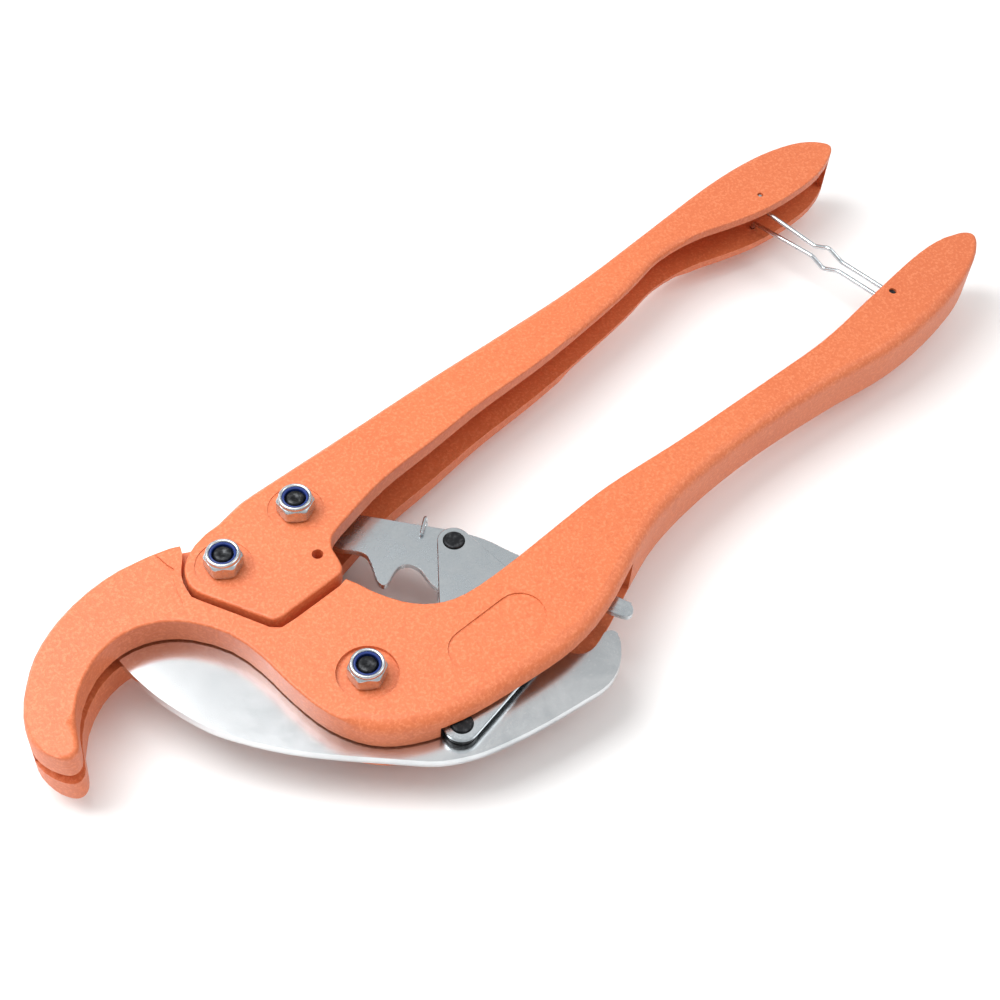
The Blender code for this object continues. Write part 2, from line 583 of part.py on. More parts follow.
def ratchet_spring():
    """Torsion spring on the pin's collar, one leg hooked over the lever's upper edge."""
    cx, cy = RATCHET_PIN
    r = 7.3
    start, turns, steps = math.radians(132.0), 1.55, 34
    coil = []
    for k in range(steps + 1):
        t = k / steps
        a = start + 2 * math.pi * turns * t
        coil.append((cx + r * math.cos(a), cy + r * math.sin(a), 1.2 - 2.4 * t))
    a = start + 2 * math.pi * turns
    leg = (coil[-1][0] - 4.0 * math.sin(a), coil[-1][1] + 4.0 * math.cos(a), -1.2)
    hook = [(72.3, -23.5, 6.1), (76.3, -19.7, 6.1), (78.6, -17.5, 5.6), (79.4, -16.8, 3.4),
            (79.0, -17.3, 1.6), (77.6, -19.6, 1.2), (76.4, -24.0, 1.2)]
    path = bent(hook, 1.2, 3) + [Vector(p) for p in coil[1:]] + [Vector(leg)]
    return set_origin(tube("ratchet_spring", path, SPRING_R, zinc(), 8), RATCHET_PIN)


def latch_wire():
    """Wire loop: ends turned into the moving handle's cheeks, kinked waist, hooked closed end."""
    hx, hy = LATCH_HOLE
    cx, cy = CATCH_PIN
    leg_x = cx + 6.7
    foot_y = cy - 3.4
    half = [(hx, hy, 11.4), (hx, hy, 5.2), (314.8, 7.5, 3.0), (316.2, 1.0, 6.3), (317.7, -6.4, 2.9),
            (leg_x - 0.4, -30.0, 2.9), (leg_x, foot_y, 2.9), (leg_x - 2.9, foot_y, 2.8)]
    other = [(x, y, -z) for x, y, z in reversed(half)]
    path = bent(half + other, 2.2, 4)
    return set_origin(tube("latch_wire", path, WIRE_R, zinc(), 8), LATCH_HOLE)


def catch_pin():
    end = GRIP_HALF - 0.6
    lathe("latch_catch_pin", [(0.0, -end), (1.4, -end), (1.4, end), (0.0, end)], CATCH_PIN, black_steel(), 20)


def build():
    for ob in list(bpy.data.objects):
        bpy.data.objects.remove(ob)
    fixed_body()
    moving_handle()
    pivots()
    blade()
    side_plate("side_plate_upper", *UPPER_PLATE_Z)
    side_plate("side_plate_lower", *LOWER_PLATE_Z)
    pins()
    ratchet_lever()
    ratchet_spring()
    latch_wire()
    catch_pin()


build()
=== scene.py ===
"""Looks of a ratchet pipe cutter lying closed on a pale studio floor.

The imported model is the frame: castings and plates keep their CAD meshes and gain soft edges and
finishes, while fasteners, the spring and the latch wire are rebuilt in finer meshes.
"""

import logging
import math
from dataclasses import dataclass, field
from enum import Enum
from typing import Callable, Iterable, Sequence, Union

import bmesh
import bpy
from mathutils import Matrix, Vector


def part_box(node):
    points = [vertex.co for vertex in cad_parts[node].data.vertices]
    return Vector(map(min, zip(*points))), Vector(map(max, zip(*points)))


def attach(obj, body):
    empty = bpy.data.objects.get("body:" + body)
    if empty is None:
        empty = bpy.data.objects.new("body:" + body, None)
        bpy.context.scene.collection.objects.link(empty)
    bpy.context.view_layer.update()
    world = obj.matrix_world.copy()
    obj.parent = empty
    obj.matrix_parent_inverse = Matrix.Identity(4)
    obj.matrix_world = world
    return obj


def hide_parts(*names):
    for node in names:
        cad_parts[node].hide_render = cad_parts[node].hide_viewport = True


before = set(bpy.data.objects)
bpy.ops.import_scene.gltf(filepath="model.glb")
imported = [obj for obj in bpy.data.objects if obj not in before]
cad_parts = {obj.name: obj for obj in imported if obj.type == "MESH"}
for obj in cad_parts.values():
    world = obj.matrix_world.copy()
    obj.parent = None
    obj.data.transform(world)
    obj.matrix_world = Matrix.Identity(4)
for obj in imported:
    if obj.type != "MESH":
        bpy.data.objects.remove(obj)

LOG = logging.getLogger("pipe_cutter")
MM = 0.001
MID_Z = 0.023
Radius = Union[float, Callable[[float], float]]
Row = tuple[Radius, float]
Point = tuple[float, float, float]
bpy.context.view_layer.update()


# ------------------------------------------------------------------ shader maths

class Graph:
    """One material's node tree."""

    def __init__(self, name: str) -> None:
        """Make the material.

        Args:
            name: the material's name.
        """
        self.material = bpy.data.materials.new(name)
        self.material.use_nodes = True
        self.tree = self.material.node_tree
        self.shader = self.tree.nodes["Principled BSDF"]

    def node(self, kind: str, settings: dict | None = None, out: Union[int, str] = 0,
             **inputs: object) -> "Signal":
        """Make any node.

        Args:
            kind: the node's type name.
            settings: attributes set before its sockets; "stops" fills a colour ramp.
            out: the output wanted.
            **inputs: socket values or signals; spaces in socket names are underscores, i0 is the first.

        Returns:
            The wanted output.
        """
        made = self.tree.nodes.new(kind)
        for key, value in (settings or {}).items():
            if key == "stops":
                ramp = made.color_ramp
                while len(ramp.elements) < len(value):
                    ramp.elements.new(0.5)
                for element, (at, colour) in zip(ramp.elements, value):
                    element.position = at
                    element.color = (*colour, 1.0)
            else:
                setattr(made, key, value)
        for key, value in inputs.items():
            index = int(key[1:]) if key[0] == "i" and key[1:].isdigit() else key.replace("_", " ")
            self.feed(made.inputs[index], value)
        return Signal(self, made.outputs[out])

    def feed(self, socket: bpy.types.NodeSocket, value: object) -> None:
        """Link a signal to a socket, or set the socket's value."""
        if isinstance(value, Signal):
            self.tree.links.new(value.socket, socket)
        else:
            socket.default_value = value

    def place(self) -> "Signal":
        """Object coordinates in metres."""
        return self.node("ShaderNodeTexCoord", out="Object")

    def noise(self, scale: float, detail: float = 2.0, rough: float = 0.5, warp: float = 0.0,
              at: "Signal | None" = None) -> "Signal":
        """Noise between 0 and 1.

        Args:
            scale: features per metre.
            detail: octaves.
            rough: how strong the finer octaves are.
            warp: distortion.
            at: where to read it, else object coordinates.

        Returns:
            The noise's value.
        """
        return self.node("ShaderNodeTexNoise", {"noise_dimensions": "3D"}, Vector=at or self.place(),
                         Scale=scale, Detail=detail, Roughness=rough, Distortion=warp)

    def mix(self, factor: object, low: object, high: object) -> "Signal":
        """Blend two colours.

        Args:
            factor: 0 gives low, 1 gives high.
            low: colour or signal.
            high: colour or signal.

        Returns:
            The blended colour.
        """
        made = self.tree.nodes.new("ShaderNodeMix")
        made.data_type = "RGBA"
        for socket, value in ((made.inputs[0], factor), (made.inputs[6], low), (made.inputs[7], high)):
            self.feed(socket, (*value, 1.0) if isinstance(value, tuple) and len(value) == 3 else value)
        return Signal(self, made.outputs[2])

    def bump(self, height: "Signal", strength: float, depth: float,
             under: "Signal | None" = None) -> "Signal":
        """Turn a height into a normal; depth is in metres."""
        made = self.node("ShaderNodeBump", Strength=strength, Distance=depth, Height=height)
        if under is not None:
            self.tree.links.new(under.socket, made.socket.node.inputs["Normal"])
        return made


@dataclass(frozen=True)
class Signal:
    """One output socket that adds Math nodes when it is used in an expression."""

    graph: Graph
    socket: bpy.types.NodeSocket

    def _math(self, operation: str, first: object, second: object) -> "Signal":
        """Add a Math node of two terms."""
        return self.graph.node("ShaderNodeMath", {"operation": operation}, i0=first, i1=second)

    def __add__(self, other: object) -> "Signal":
        """self + other"""
        return self._math("ADD", self, other)

    def __radd__(self, other: object) -> "Signal":
        """other + self"""
        return self._math("ADD", other, self)

    def __sub__(self, other: object) -> "Signal":
        """self - other"""
        return self._math("SUBTRACT", self, other)

    def __rsub__(self, other: object) -> "Signal":
        """other - self"""
        return self._math("SUBTRACT", other, self)

    def __mul__(self, other: object) -> "Signal":
        """self * other"""
        return self._math("MULTIPLY", self, other)

    def __rmul__(self, other: object) -> "Signal":
        """other * self"""
        return self._math("MULTIPLY", other, self)

    def __truediv__(self, other: object) -> "Signal":
        """self / other"""
        return self._math("DIVIDE", self, other)

    def __pow__(self, other: object) -> "Signal":
        """self ** other"""
        return self._math("POWER", self, other)

    def span(self, start: float, end: float, low: float = 0.0, high: float = 1.0) -> "Signal":
        """Map start..end to low..high with smooth ends."""
        return self.graph.node("ShaderNodeMapRange", {"interpolation_type": "SMOOTHSTEP"},
                               Value=self, i1=start, i2=end, i3=low, i4=high)

    def part(self, axis: str) -> "Signal":
        """One component of a vector."""
        return self.graph.node("ShaderNodeSeparateXYZ", out=axis, i0=self)

    def stretched(self, scale: Point) -> "Signal":
        """The vector times a vector."""
        return self.graph.node("ShaderNodeVectorMath", {"operation": "MULTIPLY"}, i0=self, i1=scale)


# ------------------------------------------------------------------ finishes

class Slot(Enum):
    """Material slots of the record."""

    COAT = "orange_powder_coat"
    ZINC = "zinc_plated_steel"
    BLADE = "polished_blade_steel"
    BLACK = "blackened_steel"
    NYLON = "blue_nylon"


@dataclass(frozen=True)
class PowderCoat:
    """Fine-grained orange powder coat on a casting."""

    colour: tuple[float, float, float] = (0.680, 0.168, 0.058)
    thin: tuple[float, float, float] = (0.820, 0.265, 0.118)
    dusty: tuple[float, float, float] = (0.600, 0.130, 0.043)
    grain: float = 820.0
    roughness: float = 0.42

    def material(self) -> bpy.types.Material:
        """Build the finish."""
        g = Graph("orange_powder_coat")
        grain = g.noise(self.grain, 3.0, 0.62)
        orange_peel = g.noise(260.0, 2.0, 0.5)
        cloud = g.noise(16.0, 3.0, 0.55)
        tint = g.mix(cloud.span(0.30, 0.62, 0.55, 1.0), self.dusty, self.colour)
        tint = g.mix(grain.span(0.46, 0.66, 0.0, 0.60), tint, self.thin)
        tint = g.mix(g.noise(540.0, 2.0).span(0.50, 0.72, 0.0, 0.55), tint, self.dusty)
        g.feed(g.shader.inputs["Base Color"], tint)
        rough = grain * 0.16 + (self.roughness - 0.07) + cloud * 0.05
        g.feed(g.shader.inputs["Roughness"], rough)
        coarse = g.bump(orange_peel, 0.30, 0.20 * MM)
        g.feed(g.shader.inputs["Normal"], g.bump(grain, 0.70, 0.26 * MM, coarse))
        g.shader.inputs["Specular IOR Level"].default_value = 0.55
        return g.material


@dataclass(frozen=True)
class ZincPlate:
    """Bright zinc plate with clouds, rolling marks and fine handling scratches."""

    name: str = "zinc_plated_steel"
    bright: tuple[float, float, float] = (0.72, 0.765, 0.79)
    dull: tuple[float, float, float] = (0.50, 0.545, 0.575)
    roughness: float = 0.10
    clouds: float = 95.0

    def material(self) -> bpy.types.Material:
        """Build the finish."""
        g = Graph(self.name)
        cloud = g.noise(self.clouds, 6.0, 0.66, 0.6)
        spot = g.noise(self.clouds * 5.5, 3.0, 0.6)
        scratch = g.noise(240.0, 4.0, 0.7, at=g.place().stretched((0.35, 5.0, 1.0)))
        tone = cloud.span(0.34, 0.66) * 0.75 + spot.span(0.4, 0.75) * 0.25
        g.feed(g.shader.inputs["Base Color"], g.mix(tone, self.dull, self.bright))
        g.feed(g.shader.inputs["Roughness"], self.roughness + 0.16 - tone * 0.16 + scratch * 0.08)
        g.feed(g.shader.inputs["Normal"], g.bump(spot + scratch * 0.5, 0.16, 0.05 * MM))
        g.shader.inputs["Metallic"].default_value = 1.0
        return g.material


@dataclass(frozen=True)
class BladeSteel:
    """Polished towards the tip, pitted and matt round the pivot, cloudy on the tail."""

    bright: tuple[float, float, float] = (0.80, 0.815, 0.83)
    grey: tuple[float, float, float] = (0.56, 0.590, 0.610)
    polished_x: float = -0.050
    matt_x: float = -0.008

    def material(self) -> bpy.types.Material:
        """Build the finish."""
        g = Graph("polished_blade_steel")
        x = g.place().part("X")
        y = g.place().part("Y")
        wander = g.noise(60.0, 3.0, 0.6) * 0.022
        matt = (x + wander - y * 0.25).span(self.polished_x + 0.018, self.matt_x + 0.028)
        pits = g.noise(1500.0, 2.0, 0.6)
        cloud = g.noise(48.0, 5.0, 0.62, 0.5)
        grey = matt * (cloud.span(0.30, 0.70, 0.35, 1.0))
        tint = g.mix(grey, self.bright, self.grey)
        tint = g.mix(pits.span(0.60, 0.72) * matt * 0.5, tint, self.bright)
        g.feed(g.shader.inputs["Base Color"], tint)
        grind = g.noise(900.0, 2.0, 0.5, at=g.place().stretched((1.0, 0.04, 1.0)))
        g.feed(g.shader.inputs["Roughness"], 0.13 + matt * 0.05 + pits * matt * 0.05 + grind * 0.02)
        g.feed(g.shader.inputs["Normal"], g.bump(pits * matt + grind * 0.10, 0.14, 0.03 * MM))
        g.shader.inputs["Metallic"].default_value = 1.0
        return g.material


@dataclass(frozen=True)
class BlackOxide:
    """Blackened steel with paler rubbed spots."""

    dark: tuple[float, float, float] = (0.018, 0.019, 0.021)
    rubbed: tuple[float, float, float] = (0.085, 0.088, 0.092)

    def material(self) -> bpy.types.Material:
        """Build the finish."""
        g = Graph("blackened_steel")
        cloud = g.noise(420.0, 4.0, 0.65)
        g.feed(g.shader.inputs["Base Color"], g.mix(cloud.span(0.45, 0.75), self.dark, self.rubbed))
        g.feed(g.shader.inputs["Roughness"], 0.34 + cloud * 0.2)
        g.feed(g.shader.inputs["Normal"], g.bump(cloud, 0.2, 0.05 * MM))
        g.shader.inputs["Metallic"].default_value = 0.85
        return g.material


@dataclass(frozen=True)
class Nylon:
    """Moulded blue nylon with a faint surface waviness."""

    colour: tuple[float, float, float] = (0.008, 0.024, 0.15)
    pale: tuple[float, float, float] = (0.020, 0.050, 0.24)

    def material(self) -> bpy.types.Material:
        """Build the finish."""
        g = Graph("blue_nylon")
        cloud = g.noise(500.0, 2.0, 0.5)
        g.feed(g.shader.inputs["Base Color"], g.mix(cloud, self.colour, self.pale))
        g.feed(g.shader.inputs["Roughness"], 0.30 + cloud * 0.12)
        g.feed(g.shader.inputs["Normal"], g.bump(cloud, 0.15, 0.04 * MM))
        g.shader.inputs["Specular IOR Level"].default_value = 0.5
        return g.material


@dataclass(frozen=True)
class PaleFloor:
    """Even, nearly white studio sweep."""

    colour: tuple[float, float, float] = (0.93, 0.93, 0.925)
    pale: tuple[float, float, float] = (0.945, 0.945, 0.94)

    def material(self) -> bpy.types.Material:
        """Build the finish."""
        g = Graph("studio_floor")
        g.feed(g.shader.inputs["Base Color"], g.mix(g.noise(3.0), self.colour, self.pale))
        g.shader.inputs["Roughness"].default_value = 0.8
        g.shader.inputs["Specular IOR Level"].default_value = 0.1
        return g.material


class Finishes:
    """Every finish of the tool, made once."""

    def __init__(self) -> None:
        """Build the materials."""
        self.by_slot = {
            Slot.COAT: PowderCoat().material(),
            Slot.ZINC: ZincPlate().material(),
            Slot.BLADE: BladeSteel().material(),
            Slot.BLACK: BlackOxide().material(),
            Slot.NYLON: Nylon().material(),
        }

    def dress(self, obj: bpy.types.Object, slot: Slot) -> None:
        """Give an object its finish in its one material slot."""
        if not obj.material_slots:
            obj.data.materials.append(None)
        for entry in obj.material_slots:
            entry.link = "OBJECT"
            entry.material = self.by_slot[slot]


# ------------------------------------------------------------------ mesh making

@dataclass
class Shape:
    """Vertices and faces of one piece, in metres."""

    verts: list[Point] = field(default_factory=list)
    faces: list[tuple[int, ...]] = field(default_factory=list)

    def turned(self, rows: Sequence[Row], centre: Vector, sides: int = 72) -> "Shape":
        """Add a solid turned about the vertical through centre.

        Args:
            rows: (radius, height) in metres from axis to axis, or closed round a bore; a radius may be
                a function of the angle.
            centre: a point on the axis.
            sides: how many sides a circle has.

        Returns:
            This shape.
        """
        rings: list[list[int]] = []
        for radius, z in rows:
            if not callable(radius) and radius < 1e-7:
                rings.append([len(self.verts)])
                self.verts.append((centre.x, centre.y, z))
                continue
            rings.append(list(range(len(self.verts), len(self.verts) + sides)))
            for k in range(sides):
                a = 2 * math.pi * k / sides
                r = radius(a) if callable(radius) else radius
                self.verts.append((centre.x + r * math.cos(a), centre.y + r * math.sin(a), z))
        pairs = list(zip(rings, rings[1:]))
        if len(rings[0]) > 1:
            pairs.append((rings[-1], rings[0]))
        for low, high in pairs:
            for k in range(sides):
                j = (k + 1) % sides
                corners = (low[k % len(low)], low[j % len(low)], high[j % len(high)], high[k % len(high)])
                self.faces.append(tuple(dict.fromkeys(corners)))
        return self

    def swept(self, path: Sequence[Vector], radius: float, sides: int = 16) -> "Shape":
        """Add a round bar along a path, with slightly rounded ends.

        Args:
            path: the centre line in metres.
            radius: the bar's radius.
            sides: how many sides it has.

        Returns:
            This shape.
        """
        first = len(self.verts)
        pts = [path[0]] + list(path)
        scales = [0.72] + [1.0] * len(path)
        pts[1] = path[0] + (path[1] - path[0]).normalized() * radius * 0.3
        pts.append(path[-1])
        pts[-2] = path[-1] + (path[-2] - path[-1]).normalized() * radius * 0.3
        scales.append(0.72)
        count = len(pts)
        side = (pts[1] - pts[0]).orthogonal().normalized()
        for i, (p, scale) in enumerate(zip(pts, scales)):
            ahead = (pts[min(i + 1, count - 1)] - pts[max(i - 1, 0)]).normalized()
            side = (side - ahead * side.dot(ahead)).normalized()
            up = ahead.cross(side)
            for k in range(sides):
                a = 2 * math.pi * k / sides
                self.verts.append(tuple(p + (side * math.cos(a) + up * math.sin(a)) * radius * scale))
        for i in range(count - 1):
            for k in range(sides):
                j = (k + 1) % sides
                a, b = first + i * sides, first + (i + 1) * sides
                self.faces.append((a + k, a + j, b + j, b + k))
        last = first + (count - 1) * sides
        self.faces.append(tuple(first + k for k in reversed(range(sides))))
        self.faces.append(tuple(last + k for k in range(sides)))
        return self

    def piece(self, name: str) -> bpy.types.Object:
        """Make the object, smooth except at hard edges."""
        mesh = bpy.data.meshes.new(name)
        mesh.from_pydata(self.verts, [], self.faces)
        mesh.validate()
        mesh.update()
        bm = bmesh.new()
        bm.from_mesh(mesh)
        bmesh.ops.recalc_face_normals(bm, faces=bm.faces)
        for face in bm.faces:
            face.smooth = True
        for edge in bm.edges:
            edge.smooth = len(edge.link_faces) == 2 and edge.calc_face_angle(0.0) < math.radians(38)
        bm.to_mesh(mesh)
        bm.free()
        obj = bpy.data.objects.new(name, mesh)
        bpy.context.scene.collection.objects.link(obj)
        return obj


def eased(corners: Iterable[Point], radius: float, steps: int = 8) -> list[Vector]:
    """Round a polyline's corners.

    Args:
        corners: points in metres.
        radius: how far from a corner the bend starts.
        steps: points in each bend.

    Returns:
        The smooth path.
    """
    pts = [Vector(c) for c in corners]
    out = [pts[0]]
    for a, b, c in zip(pts, pts[1:], pts[2:]):
        r = min(radius, 0.45 * (b - a).length, 0.45 * (c - b).length)
        p, q = b + (a - b).normalized() * r, b + (c - b).normalized() * r
        for k in range(steps + 1):
            t = k / steps
            out.append(p * (1 - t) ** 2 + b * 2 * t * (1 - t) + q * t * t)
    return out + [pts[-1]]


def centre_of(node: str) -> Vector:
    """Middle of a CAD node's box."""
    low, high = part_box(node)
    return (low + high) / 2


# ------------------------------------------------------------------ sub-assemblies

@dataclass
class Casting:
    """A powder-coated casting: the CAD mesh with every hard edge softened."""

    node: str
    edge: float = 0.7 * MM
    segments: int = 3

    def build(self, finishes: Finishes) -> None:
        """Soften and dress the node."""
        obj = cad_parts[self.node]
        soften(obj, self.edge, self.segments)
        finishes.dress(obj, Slot.COAT)
        LOG.info("casting %s", self.node)


def soften(obj: bpy.types.Object, edge: float, segments: int) -> None:
    """Merge flat triangles, round the hard edges and even out the shading.

    Args:
        obj: a CAD node's object.
        edge: width of the rounding in metres.
        segments: steps across it.
    """
    for poly in obj.data.polygons:
        poly.use_smooth = True
    weld = obj.modifiers.new("weld", "WELD")
    weld.merge_threshold = 1e-6
    flat = obj.modifiers.new("flat", "DECIMATE")
    flat.decimate_type = "DISSOLVE"
    flat.angle_limit = math.radians(0.6)
    bevel = obj.modifiers.new("edges", "BEVEL")
    bevel.width = edge
    bevel.segments = segments
    bevel.limit_method = "ANGLE"
    bevel.angle_limit = math.radians(38)
    bevel.use_clamp_overlap = True
    bevel.miter_outer = "MITER_ARC"
    even = obj.modifiers.new("normals", "WEIGHTED_NORMAL")
    even.weight = 60
    even.keep_sharp = False


def ground(obj: bpy.types.Object) -> None:
    """Shade a ground plate flat on its faces and smooth round its outline."""
    for poly in obj.data.polygons:
        poly.use_smooth = True
    split = obj.modifiers.new("split", "EDGE_SPLIT")
    split.split_angle = math.radians(13.0)


@dataclass
class Station:
    """One bolt with its locking nut and nylon insert."""

    name: str
    body: str
    flat: float = 13.0 * MM
    shank: float = 4.0 * MM
    bore: float = 4.12 * MM
    head: float = 5.3 * MM

    def hexagon(self, limit: float) -> Callable[[float], float]:
        """Radius of the hexagon at an angle, turned down to a limit."""
        def radius(a: float) -> float:
            sector = (a + math.pi / 6) % (math.pi / 3) - math.pi / 6
            plain = self.flat / 2 / math.cos(sector)
            corner = self.flat / 2 / math.cos(math.pi / 6) - 0.18 * MM
            return min(plain, corner, limit)
        return radius

    def chamfer(self, end: float, depth: float, inward: int) -> list[Row]:
        """Rings of a hexagon's end whose corners are turned down."""
        low, high = self.flat / 2 - 0.45 * MM, self.flat / 2 / math.cos(math.pi / 6)
        rows: list[Row] = [(low - 0.25 * MM, end)]
        for k in range(7):
            t = k / 6
            rise = 0.06 * MM + depth * t ** 1.15
            rows.append((self.hexagon(low + (high - low) * t), end + inward * rise))
        return rows if inward > 0 else rows[::-1]

    def build(self, finishes: Finishes) -> None:
        """Make the three pieces and stand them for their nodes."""
        low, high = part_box(f"{self.name}_nut")
        centre = centre_of(f"{self.name}_nut")
        seat, top = low.z, high.z
        collar, lip = 6.35 * MM, 4.95 * MM
        hex_top = seat + 6.4 * MM
        rows: list[Row] = [(self.bore, seat + 0.2 * MM), (self.bore + 0.5 * MM, seat)]
        rows += self.chamfer(seat, 1.0 * MM, 1) + self.chamfer(hex_top, 1.1 * MM, -1)
        rows += [(collar + 0.12 * MM, hex_top + 0.06 * MM), (collar, hex_top + 0.2 * MM)]
        shoulder = (collar - lip) / 2
        for k in range(11):
            a = math.radians(180 * k / 10)
            rows.append((lip + shoulder + shoulder * math.cos(a), top - shoulder + shoulder * math.sin(a)))
        rows += [(lip, seat + 5.6 * MM), (self.bore, seat + 5.6 * MM)]
        self.finish(Shape().turned(rows, centre), "nut", Slot.ZINC, finishes)

        ring_low, ring_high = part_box(f"{self.name}_nut_insert")
        rim = 0.3 * MM
        rows = [(self.bore, ring_low.z), (lip - 0.05 * MM, ring_low.z)]
        for k in range(7):
            a = math.radians(90 * k / 6)
            rows.append((lip - 0.35 * MM + rim * math.cos(a), ring_high.z - rim + rim * math.sin(a)))
        rows += [(self.bore + rim, ring_high.z), (self.bore, ring_high.z - rim)]
        self.finish(Shape().turned(rows, centre), "nut_insert", Slot.NYLON, finishes)

        foot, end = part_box(f"{self.name}_bolt")
        shoulder = foot.z + self.head
        rows = [(0.0, foot.z + 0.25 * MM), (4.4 * MM, foot.z + 0.25 * MM), (4.9 * MM, foot.z)]
        rows += self.chamfer(foot.z, 1.0 * MM, 1)
        rows += [(self.hexagon(99.0), shoulder - 0.35 * MM), (5.9 * MM, shoulder - 0.3 * MM),
                 (5.85 * MM, shoulder), (self.shank, shoulder)]
        rows += self.thread(end.z - 14.0 * MM, end.z - 0.9 * MM)
        rows += [(self.shank - 0.9 * MM, end.z - 0.12 * MM), (self.shank - 1.1 * MM, end.z),
                 (1.3 * MM, end.z), (1.05 * MM, end.z - 0.12 * MM), (0.0, end.z - 0.55 * MM)]
        self.finish(Shape().turned(rows, centre), "bolt", Slot.BLACK, finishes)
        LOG.info("fasteners at %s", self.name)

    def thread(self, start: float, stop: float, pitch: float = 1.25 * MM) -> list[Row]:
        """Rings of a rolled thread."""
        rows: list[Row] = [(self.shank, start)]
        z = start
        while z + pitch <= stop:
            rows += [(self.shank - 0.62 * MM, z + 0.45 * pitch), (self.shank - 0.62 * MM, z + 0.58 * pitch),
                     (self.shank, z + 0.94 * pitch), (self.shank, z + pitch)]
            z += pitch
        return rows

    def finish(self, shape: Shape, part: str, slot: Slot, finishes: Finishes) -> None:
        """Turn a shape into a dressed piece that stands for its node."""
        piece = shape.piece(f"{self.name}_{part}_fine")
        finishes.dress(piece, slot)
        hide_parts(f"{self.name}_{part}")
        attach(piece, self.body)


@dataclass
class Linkage:
    """Blade, side plates, pins, lever, roller, bushings and spacers."""

    plates: tuple[str, ...] = ("side_plate_upper", "side_plate_lower", "ratchet_lever")
    turned: tuple[str, ...] = ("ratchet_roller", "handle_pivot_bushing", "blade_pivot_bushing",
                               "blade_spacer_upper", "blade_spacer_lower")
    pins: tuple[str, ...] = ("ratchet_pivot_pin", "blade_link_pin", "blade_link_rivet", "latch_catch_pin")

    def build(self, finishes: Finishes) -> None:
        """Soften and dress the nodes that keep their CAD meshes."""
        for names, slot, edge in ((("blade",), Slot.BLADE, 0.22), (self.plates, Slot.ZINC, 0.25),
                                  (self.turned, Slot.ZINC, 0.3), (self.pins, Slot.BLACK, 0.3)):
            for name in names:
                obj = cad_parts[name]
                if slot is Slot.BLADE:
                    ground(obj)
                else:
                    soften(obj, edge * MM, 2)
                finishes.dress(obj, slot)
                LOG.info("linkage %s", name)


@dataclass
class RatchetSpring:
    """Torsion spring on the ratchet pin, one leg hooked over the lever."""

    wire: float = 0.75 * MM
    coil: float = 7.3 * MM
    turns: float = 1.55
    start: float = math.radians(132.0)

    def path(self) -> list[Vector]:
        """Centre line of the wire."""
        pin = centre_of("ratchet_pivot_pin")
        steps = 110
        coil = []
        for k in range(1, steps + 1):
            t = k / steps
            a = self.start + 2 * math.pi * self.turns * t
            coil.append(Vector((pin.x + self.coil * math.cos(a), pin.y + self.coil * math.sin(a),
                                MID_Z + (1.2 - 2.4 * t) * MM)))
        a = self.start + 2 * math.pi * self.turns
        leg = coil[-1] + Vector((-math.sin(a), math.cos(a), 0.0)) * 4.0 * MM
        hook = [(72.3, -23.5, 6.1), (76.3, -19.7, 6.1), (78.6, -17.5, 5.6), (79.4, -16.8, 3.4),
                (79.0, -17.3, 1.6), (77.6, -19.6, 1.2), (76.4, -24.0, 1.2)]
        bent = eased([(x * MM, y * MM, MID_Z + z * MM) for x, y, z in hook], 1.2 * MM)
        return bent + coil + [leg]

    def build(self, finishes: Finishes) -> None:
        """Make the spring."""
        piece = Shape().swept(self.path(), self.wire, 14).piece("ratchet_spring_wire")
        finishes.dress(piece, Slot.ZINC)
        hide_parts("ratchet_spring")
        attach(piece, "lever")
        LOG.info("ratchet spring")


@dataclass
class LatchLoop:
    """Bent wire that holds the handles shut."""

    wire: float = 1.0 * MM
    hinge: tuple[float, float] = (309.5, 40.5)
    catch: tuple[float, float] = (315.3, -38.0)

    def build(self, finishes: Finishes) -> None:
        """Make the wire."""
        hx, hy = self.hinge
        cx, cy = self.catch
        leg, foot = cx + 6.7, cy - 3.4
        half = [(hx, hy, 11.4), (hx, hy, 5.2), (314.8, 7.5, 3.0), (316.2, 1.0, 6.3), (317.7, -6.4, 2.9),
                (leg - 0.4, -30.0, 2.9), (leg, foot, 2.9), (leg - 2.9, foot, 2.8)]
        corners = half + [(x, y, -z) for x, y, z in reversed(half)]
        path = eased([(x * MM, y * MM, MID_Z + z * MM) for x, y, z in corners], 1.6 * MM)
        piece = Shape().swept(path, self.wire, 18).piece("latch_wire_bent")
        finishes.dress(piece, Slot.ZINC)
        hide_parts("latch_wire")
        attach(piece, "latch")
        LOG.info("latch wire")


# ------------------------------------------------------------------ studio

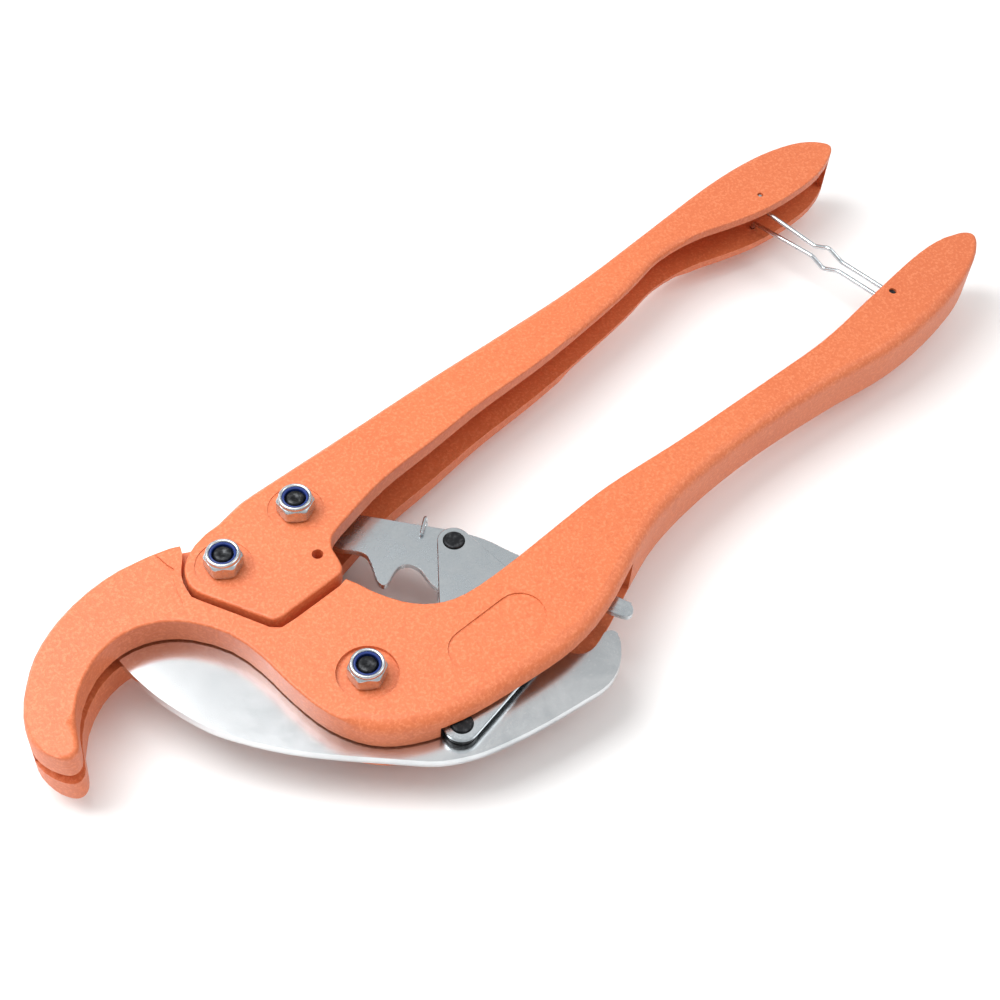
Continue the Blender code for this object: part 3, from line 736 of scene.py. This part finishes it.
@dataclass
class Studio:
    """Camera, soft lights and a pale floor."""

    eye: Point = (-0.1601, -0.3244, 0.5385)
    azimuth: float = math.radians(42.0)
    dip: float = math.radians(51.9)
    roll: float = math.radians(5.5)
    lens: float = 59.8

    def build(self) -> None:
        """Make everything that isn't the tool."""
        scene = bpy.context.scene
        self.camera(scene)
        floor = Shape([(-4, -4, -0.0004), (4, -4, -0.0004), (4, 4, -0.0004), (-4, 4, -0.0004)],
                      [(0, 1, 2, 3)]).piece("floor")
        floor.data.materials.append(PaleFloor().material())
        self.sky(scene)
        self.light("key_softbox", (-0.22, 0.33, 0.80), (-0.22, 0.33, 0.0), 0.64, 7.2)
        self.light("far_fill", (-0.80, 0.75, 1.10), (0.1, 0.0, 0.0), 0.8, 6.0)
        self.light("grip_fill", (0.95, -0.55, 1.30), (0.2, 0.0, 0.0), 0.7, 4.0)
        scene.view_settings.view_transform = "Standard"
        LOG.info("studio")

    def camera(self, scene: bpy.types.Scene) -> None:
        """Add the camera and make it the scene's."""
        camera = bpy.data.objects.new("camera", bpy.data.cameras.new("camera"))
        scene.collection.objects.link(camera)
        camera.data.lens = self.lens
        camera.data.clip_end = 20.0
        across = Vector((math.cos(self.azimuth), -math.sin(self.azimuth), 0.0))
        level = Vector((math.sin(self.azimuth), math.cos(self.azimuth), 0.0))
        ahead = level * math.cos(self.dip) - Vector((0, 0, math.sin(self.dip)))
        up = across.cross(ahead)
        right = across * math.cos(self.roll) + up * math.sin(self.roll)
        top = up * math.cos(self.roll) - across * math.sin(self.roll)
        turn = Matrix((right, top, -ahead)).transposed().to_4x4()
        camera.matrix_world = Matrix.Translation(self.eye) @ turn
        scene.camera = camera

    def sky(self, scene: bpy.types.Scene) -> None:
        """Add the world, a grey that grows from the horizon to the zenith."""
        world = bpy.data.worlds.new("studio")
        scene.world = world
        world.use_nodes = True
        tree = world.node_tree
        where = tree.nodes.new("ShaderNodeTexCoord")
        split = tree.nodes.new("ShaderNodeSeparateXYZ")
        ramp = tree.nodes.new("ShaderNodeValToRGB")
        stops = ((0.0, 0.44), (0.35, 0.66), (0.79, 0.58), (1.0, 1.05))
        while len(ramp.color_ramp.elements) < len(stops):
            ramp.color_ramp.elements.new(0.5)
        for element, (at, grey) in zip(ramp.color_ramp.elements, stops):
            element.position = at
            element.color = (grey, grey, grey, 1.0)
        tree.links.new(where.outputs["Generated"], split.inputs[0])
        tree.links.new(split.outputs["Z"], ramp.inputs["Fac"])
        tree.links.new(ramp.outputs["Color"], tree.nodes["Background"].inputs["Color"])

    def light(self, name: str, at: Point, towards: Point, size: float, watts: float) -> None:
        """Add one square softbox.

        Args:
            name: the light's name.
            at: its place.
            towards: the point that it faces.
            size: its side in metres.
            watts: its power.
        """
        data = bpy.data.lights.new(name, "AREA")
        data.size = size
        data.energy = watts
        lamp = bpy.data.objects.new(name, data)
        bpy.context.scene.collection.objects.link(lamp)
        lamp.location = at
        aim = Vector(towards) - Vector(at)
        lamp.rotation_euler = aim.to_track_quat("-Z", "Y").to_euler()


def main() -> None:
    """Build and dress the tool, then its studio."""
    logging.basicConfig(level=logging.INFO, format="%(message)s")
    finishes = Finishes()
    for casting in (Casting("fixed_body"), Casting("moving_handle")):
        casting.build(finishes)
    for name, body in (("handle_pivot", "body"), ("blade_pivot", "body"), ("roller", "handle")):
        Station(name, body).build(finishes)
    Linkage().build(finishes)
    RatchetSpring().build(finishes)
    LatchLoop().build(finishes)
    Studio().build()


if __name__ == "__main__":
    main()
